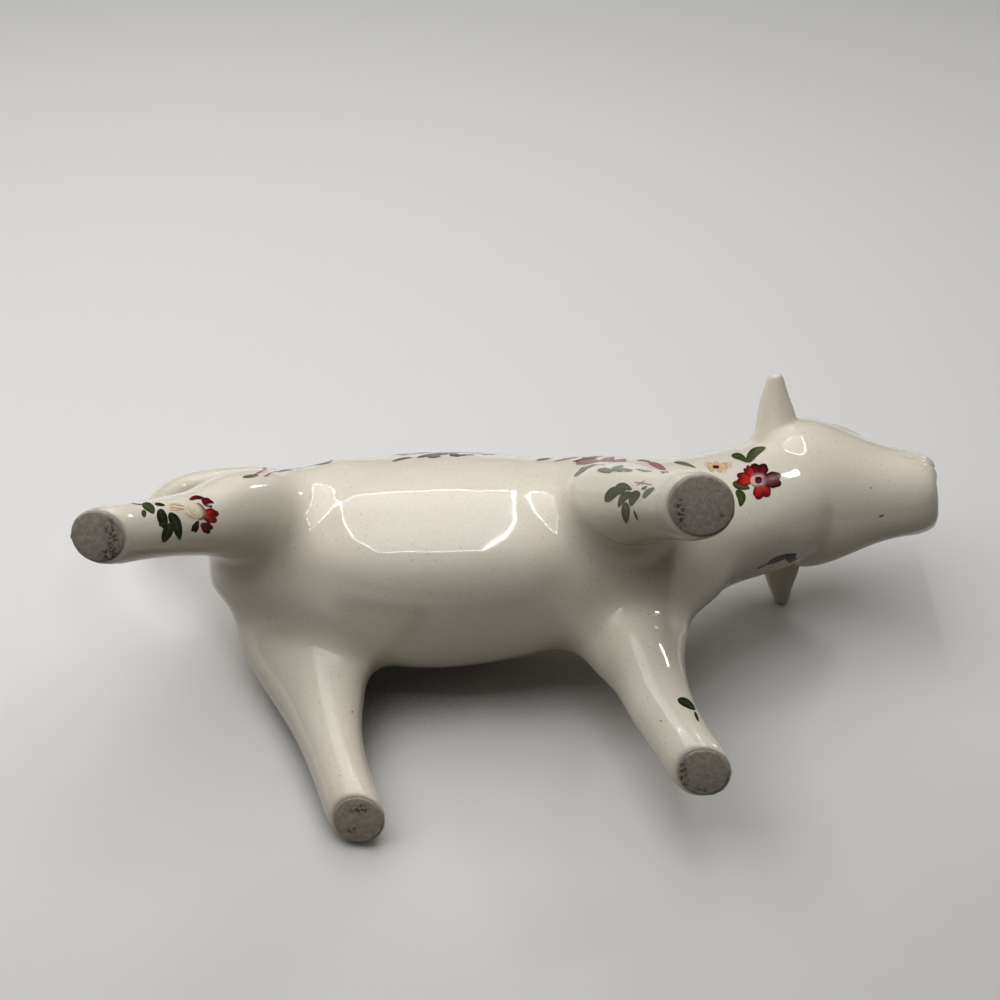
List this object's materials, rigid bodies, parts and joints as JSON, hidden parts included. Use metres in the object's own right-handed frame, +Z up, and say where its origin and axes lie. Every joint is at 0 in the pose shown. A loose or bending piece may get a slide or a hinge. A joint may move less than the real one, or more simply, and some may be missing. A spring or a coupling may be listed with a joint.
{
  "type": "cow creamer",
  "caption": "Hollow glazed earthenware cream jug shaped like a walking cow, filled through the back, poured from the mouth, held by its looped tail.",
  "frame": {"origin": "on the surface that the soles stand on, under the middle of the whole object's length and width", "axes": "+X towards the cow's head and mouth, +Y towards the cow's left side, +Z up from the soles"},
  "size_m": [0.1821, 0.0768, 0.1081],
  "materials": {
    "ivory_glaze": "gloss",
    "bare_clay": "matte",
    "leaf_enamel": "gloss",
    "red_enamel": "gloss",
    "yellow_enamel": "gloss",
    "mauve_enamel": "gloss"
  },
  "bodies": {
    "root": {"trunk_casting": "ivory_glaze", "head_casting": "ivory_glaze", "leg_front_left": "ivory_glaze", "leg_front_right": "ivory_glaze", "leg_hind_left": "ivory_glaze", "leg_hind_right": "ivory_glaze", "tail_handle": "ivory_glaze", "ear_left": "ivory_glaze", "ear_right": "ivory_glaze"}
  },
  "joints": []
}
